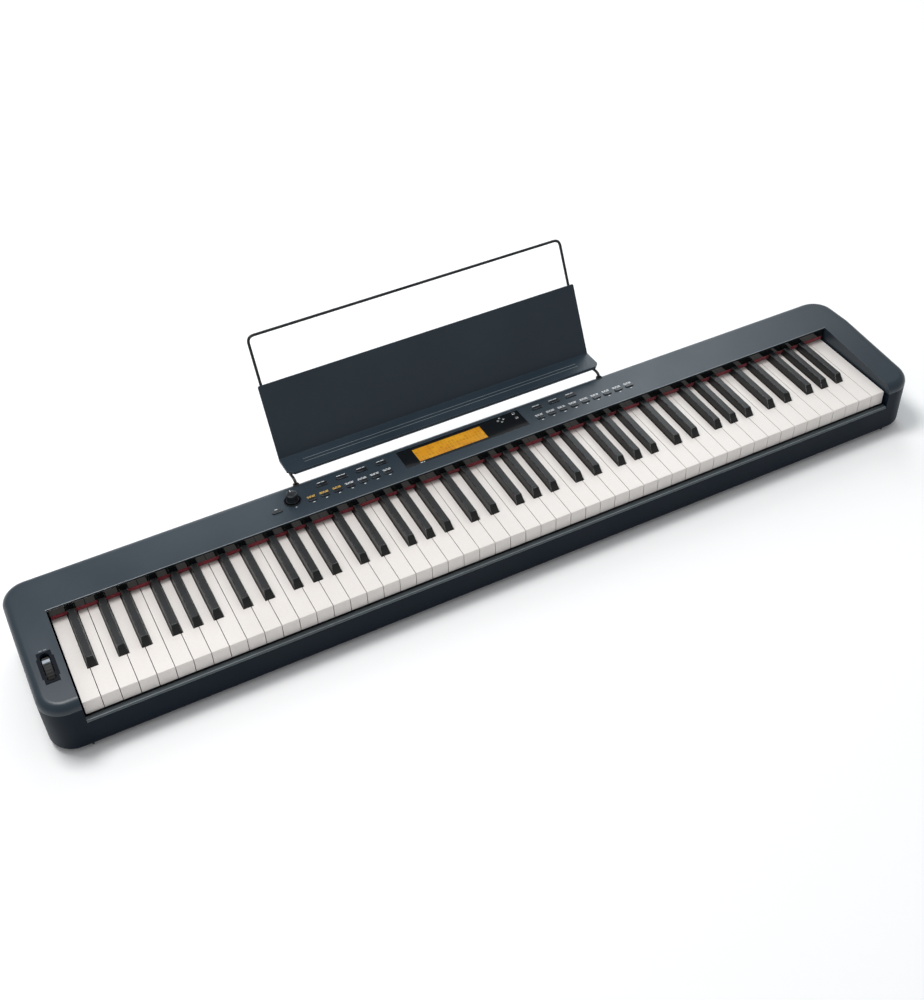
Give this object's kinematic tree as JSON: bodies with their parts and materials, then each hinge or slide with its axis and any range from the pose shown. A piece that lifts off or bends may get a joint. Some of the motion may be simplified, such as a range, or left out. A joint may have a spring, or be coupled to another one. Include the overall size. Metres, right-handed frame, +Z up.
{
  "type": "digital piano",
  "caption": "Slim full-size digital piano with weighted hammer keys, a control panel with a lit display, a pitch wheel and a lift-out wire music rest.",
  "frame": {"origin": "middle of the footprint, music rest included, on the surface under the feet", "axes": "+X towards the treble keys, +Y away from the player, +Z up"},
  "size_m": [1.322, 0.3534, 0.2691],
  "materials": {
    "top_case": "satin, fine grain",
    "lower_case": "satin",
    "white_keys": "satin, finely textured",
    "black_keys": "matte, grained",
    "hammers": "matte",
    "chassis": "matte",
    "felt": "felt",
    "boards": "coated",
    "display_gloss": "polished",
    "lcd": "lit amber",
    "speakers": "matte",
    "rubber": "matte",
    "controls": "satin",
    "rest_wire": "satin"
  },
  "bodies": {
    "case": {"lower_case": "lower_case", "upper_case": "top_case", "key_chassis": "chassis", "key_stop_felt": "felt", "contact_board": "boards", "hammer_rest_felt": "felt", "name_felt": "felt", "display_window": "display_gloss", "lcd_module": "lcd", "panel_board": "boards", "main_board": "boards", "jack_board": "boards", "speaker_left": "speakers", "speaker_right": "speakers", "wheel_bracket": "chassis", "foot_front_left": "rubber", "foot_front_right": "rubber", "foot_rear_left": "rubber", "foot_rear_right": "rubber"},
    "key_c4": {"key_c4": "white_keys"},
    "hammer_c4": {"hammer_c4": "hammers"},
    "key_cs4": {"key_cs4": "black_keys"},
    "hammer_cs4": {"hammer_cs4": "hammers"},
    "key_d4": {"key_d4": "white_keys"},
    "hammer_d4": {"hammer_d4": "hammers"},
    "key_ds4": {"key_ds4": "black_keys"},
    "hammer_ds4": {"hammer_ds4": "hammers"},
    "key_e4": {"key_e4": "white_keys"},
    "hammer_e4": {"hammer_e4": "hammers"},
    "key_f4": {"key_f4": "white_keys"},
    "hammer_f4": {"hammer_f4": "hammers"},
    "key_fs4": {"key_fs4": "black_keys"},
    "hammer_fs4": {"hammer_fs4": "hammers"},
    "key_g4": {"key_g4": "white_keys"},
    "hammer_g4": {"hammer_g4": "hammers"},
    "key_gs4": {"key_gs4": "black_keys"},
    "hammer_gs4": {"hammer_gs4": "hammers"},
    "key_a4": {"key_a4": "white_keys"},
    "hammer_a4": {"hammer_a4": "hammers"},
    "key_as4": {"key_as4": "black_keys"},
    "hammer_as4": {"hammer_as4": "hammers"},
    "key_b4": {"key_b4": "white_keys"},
    "hammer_b4": {"hammer_b4": "hammers"},
    "keys_bass": {"white_keys_bass": "white_keys", "black_keys_bass": "black_keys"},
    "hammers_bass": {"hammers_bass": "hammers"},
    "keys_treble": {"white_keys_treble": "white_keys", "black_keys_treble": "black_keys"},
    "hammers_treble": {"hammers_treble": "hammers"},
    "left_lower_buttons": {"left_lower_buttons": "controls"},
    "left_upper_buttons": {"left_upper_buttons": "controls"},
    "right_upper_buttons": {"right_upper_buttons": "controls"},
    "right_lower_buttons": {"right_lower_buttons": "controls"},
    "power_button": {"power_button": "controls"},
    "entry_buttons": {"entry_buttons": "controls"},
    "volume_knob": {"volume_knob": "controls"},
    "pitch_wheel": {"pitch_wheel": "controls"},
    "music_rest": {"music_rest_panel": "top_case", "music_rest_wire": "rest_wire"},
    "battery_cover": {"battery_cover": "lower_case"}
  },
  "joints": [
    {"name": "key_c4_press", "type": "hinge", "parent": "case", "child": "key_c4", "pos_m": [0, 0.00832, 0.062], "axis": [1, 0, 0], "range_deg": [0, 3.2], "stiffness_Nm_per_rad": 0.4, "springref_deg": -11.46},
    {"name": "hammer_c4_swing", "type": "hinge", "parent": "case", "child": "hammer_c4", "pos_m": [0, -0.07968, 0.028], "axis": [1, 0, 0], "range_deg": [0, 13.8]},
    {"name": "key_cs4_press", "type": "hinge", "parent": "case", "child": "key_cs4", "pos_m": [0, 0.00832, 0.062], "axis": [1, 0, 0], "range_deg": [0, 3.2], "stiffness_Nm_per_rad": 0.4, "springref_deg": -11.46},
    {"name": "hammer_cs4_swing", "type": "hinge", "parent": "case", "child": "hammer_cs4", "pos_m": [0, -0.07968, 0.028], "axis": [1, 0, 0], "range_deg": [0, 13.8]},
    {"name": "key_d4_press", "type": "hinge", "parent": "case", "child": "key_d4", "pos_m": [0, 0.00832, 0.062], "axis": [1, 0, 0], "range_deg": [0, 3.2], "stiffness_Nm_per_rad": 0.4, "springref_deg": -11.46},
    {"name": "hammer_d4_swing", "type": "hinge", "parent": "case", "child": "hammer_d4", "pos_m": [0, -0.07968, 0.028], "axis": [1, 0, 0], "range_deg": [0, 13.8]},
    {"name": "key_ds4_press", "type": "hinge", "parent": "case", "child": "key_ds4", "pos_m": [0, 0.00832, 0.062], "axis": [1, 0, 0], "range_deg": [0, 3.2], "stiffness_Nm_per_rad": 0.4, "springref_deg": -11.46},
    {"name": "hammer_ds4_swing", "type": "hinge", "parent": "case", "child": "hammer_ds4", "pos_m": [0, -0.07968, 0.028], "axis": [1, 0, 0], "range_deg": [0, 13.8]},
    {"name": "key_e4_press", "type": "hinge", "parent": "case", "child": "key_e4", "pos_m": [0, 0.00832, 0.062], "axis": [1, 0, 0], "range_deg": [0, 3.2], "stiffness_Nm_per_rad": 0.4, "springref_deg": -11.46},
    {"name": "hammer_e4_swing", "type": "hinge", "parent": "case", "child": "hammer_e4", "pos_m": [0, -0.07968, 0.028], "axis": [1, 0, 0], "range_deg": [0, 13.8]},
    {"name": "key_f4_press", "type": "hinge", "parent": "case", "child": "key_f4", "pos_m": [0, 0.00832, 0.062], "axis": [1, 0, 0], "range_deg": [0, 3.2], "stiffness_Nm_per_rad": 0.4, "springref_deg": -11.46},
    {"name": "hammer_f4_swing", "type": "hinge", "parent": "case", "child": "hammer_f4", "pos_m": [0, -0.07968, 0.028], "axis": [1, 0, 0], "range_deg": [0, 13.8]},
    {"name": "key_fs4_press", "type": "hinge", "parent": "case", "child": "key_fs4", "pos_m": [0, 0.00832, 0.062], "axis": [1, 0, 0], "range_deg": [0, 3.2], "stiffness_Nm_per_rad": 0.4, "springref_deg": -11.46},
    {"name": "hammer_fs4_swing", "type": "hinge", "parent": "case", "child": "hammer_fs4", "pos_m": [0, -0.07968, 0.028], "axis": [1, 0, 0], "range_deg": [0, 13.8]},
    {"name": "key_g4_press", "type": "hinge", "parent": "case", "child": "key_g4", "pos_m": [0, 0.00832, 0.062], "axis": [1, 0, 0], "range_deg": [0, 3.2], "stiffness_Nm_per_rad": 0.4, "springref_deg": -11.46},
    {"name": "hammer_g4_swing", "type": "hinge", "parent": "case", "child": "hammer_g4", "pos_m": [0, -0.07968, 0.028], "axis": [1, 0, 0], "range_deg": [0, 13.8]},
    {"name": "key_gs4_press", "type": "hinge", "parent": "case", "child": "key_gs4", "pos_m": [0, 0.00832, 0.062], "axis": [1, 0, 0], "range_deg": [0, 3.2], "stiffness_Nm_per_rad": 0.4, "springref_deg": -11.46},
    {"name": "hammer_gs4_swing", "type": "hinge", "parent": "case", "child": "hammer_gs4", "pos_m": [0, -0.07968, 0.028], "axis": [1, 0, 0], "range_deg": [0, 13.8]},
    {"name": "key_a4_press", "type": "hinge", "parent": "case", "child": "key_a4", "pos_m": [0, 0.00832, 0.062], "axis": [1, 0, 0], "range_deg": [0, 3.2], "stiffness_Nm_per_rad": 0.4, "springref_deg": -11.46},
    {"name": "hammer_a4_swing", "type": "hinge", "parent": "case", "child": "hammer_a4", "pos_m": [0, -0.07968, 0.028], "axis": [1, 0, 0], "range_deg": [0, 13.8]},
    {"name": "key_as4_press", "type": "hinge", "parent": "case", "child": "key_as4", "pos_m": [0, 0.00832, 0.062], "axis": [1, 0, 0], "range_deg": [0, 3.2], "stiffness_Nm_per_rad": 0.4, "springref_deg": -11.46},
    {"name": "hammer_as4_swing", "type": "hinge", "parent": "case", "child": "hammer_as4", "pos_m": [0, -0.07968, 0.028], "axis": [1, 0, 0], "range_deg": [0, 13.8]},
    {"name": "key_b4_press", "type": "hinge", "parent": "case", "child": "key_b4", "pos_m": [0, 0.00832, 0.062], "axis": [1, 0, 0], "range_deg": [0, 3.2], "stiffness_Nm_per_rad": 0.4, "springref_deg": -11.46},
    {"name": "hammer_b4_swing", "type": "hinge", "parent": "case", "child": "hammer_b4", "pos_m": [0, -0.07968, 0.028], "axis": [1, 0, 0], "range_deg": [0, 13.8]},
    {"name": "keys_bass_press", "type": "hinge", "parent": "case", "child": "keys_bass", "pos_m": [0, 0.00832, 0.062], "axis": [1, 0, 0], "range_deg": [0, 3.2], "stiffness_Nm_per_rad": 15.6, "springref_deg": -11.46},
    {"name": "hammers_bass_swing", "type": "hinge", "parent": "case", "child": "hammers_bass", "pos_m": [0, -0.07968, 0.028], "axis": [1, 0, 0], "range_deg": [0, 13.8]},
    {"name": "keys_treble_press", "type": "hinge", "parent": "case", "child": "keys_treble", "pos_m": [0, 0.00832, 0.062], "axis": [1, 0, 0], "range_deg": [0, 3.2], "stiffness_Nm_per_rad": 14.8, "springref_deg": -11.46},
    {"name": "hammers_treble_swing", "type": "hinge", "parent": "case", "child": "hammers_treble", "pos_m": [0, -0.07968, 0.028], "axis": [1, 0, 0], "range_deg": [0, 13.8]},
    {"name": "left_lower_buttons_press", "type": "slide", "parent": "case", "child": "left_lower_buttons", "axis": [0, -0.0429, -0.9991], "range_m": [0, 0.001], "stiffness_N_per_m": 400, "springref_m": -0.002},
    {"name": "left_upper_buttons_press", "type": "slide", "parent": "case", "child": "left_upper_buttons", "axis": [0, -0.0429, -0.9991], "range_m": [0, 0.001], "stiffness_N_per_m": 400, "springref_m": -0.002},
    {"name": "right_upper_buttons_press", "type": "slide", "parent": "case", "child": "right_upper_buttons", "axis": [0, -0.0429, -0.9991], "range_m": [0, 0.001], "stiffness_N_per_m": 400, "springref_m": -0.002},
    {"name": "right_lower_buttons_press", "type": "slide", "parent": "case", "child": "right_lower_buttons", "axis": [0, -0.0429, -0.9991], "range_m": [0, 0.001], "stiffness_N_per_m": 400, "springref_m": -0.002},
    {"name": "power_button_press", "type": "slide", "parent": "case", "child": "power_button", "axis": [0, -0.0429, -0.9991], "range_m": [0, 0.001], "stiffness_N_per_m": 400, "springref_m": -0.002},
    {"name": "entry_buttons_press", "type": "slide", "parent": "case", "child": "entry_buttons", "axis": [0, -0.0429, -0.9991], "range_m": [0, 0.001], "stiffness_N_per_m": 400, "springref_m": -0.002},
    {"name": "volume_knob_turn", "type": "hinge", "parent": "case", "child": "volume_knob", "pos_m": [-0.2617, 0.01879, 0.09677], "axis": [0, 0.0429, 0.9991], "range_deg": [-150, 150]},
    {"name": "pitch_wheel_bend", "type": "hinge", "parent": "case", "child": "pitch_wheel", "pos_m": [-0.633, -0.10768, 0.0755], "axis": [1, 0, 0], "range_deg": [-30, 30], "stiffness_Nm_per_rad": 0.05},
    {"name": "music_rest_lift", "type": "slide", "parent": "case", "child": "music_rest", "axis": [0, 0, 1], "range_m": [0, 0.05]},
    {"name": "battery_cover_release", "type": "slide", "parent": "case", "child": "battery_cover", "axis": [0, 0, -1], "range_m": [0, 0.004]}
  ],
  "couplings": [
    {"joint": "hammer_c4_swing", "follows": "key_c4_press", "ratio": 4.29},
    {"joint": "hammer_cs4_swing", "follows": "key_cs4_press", "ratio": 4.29},
    {"joint": "hammer_d4_swing", "follows": "key_d4_press", "ratio": 4.29},
    {"joint": "hammer_ds4_swing", "follows": "key_ds4_press", "ratio": 4.29},
    {"joint": "hammer_e4_swing", "follows": "key_e4_press", "ratio": 4.29},
    {"joint": "hammer_f4_swing", "follows": "key_f4_press", "ratio": 4.29},
    {"joint": "hammer_fs4_swing", "follows": "key_fs4_press", "ratio": 4.29},
    {"joint": "hammer_g4_swing", "follows": "key_g4_press", "ratio": 4.29},
    {"joint": "hammer_gs4_swing", "follows": "key_gs4_press", "ratio": 4.29},
    {"joint": "hammer_a4_swing", "follows": "key_a4_press", "ratio": 4.29},
    {"joint": "hammer_as4_swing", "follows": "key_as4_press", "ratio": 4.29},
    {"joint": "hammer_b4_swing", "follows": "key_b4_press", "ratio": 4.29},
    {"joint": "hammers_bass_swing", "follows": "keys_bass_press", "ratio": 4.29},
    {"joint": "hammers_treble_swing", "follows": "keys_treble_press", "ratio": 4.29}
  ]
}
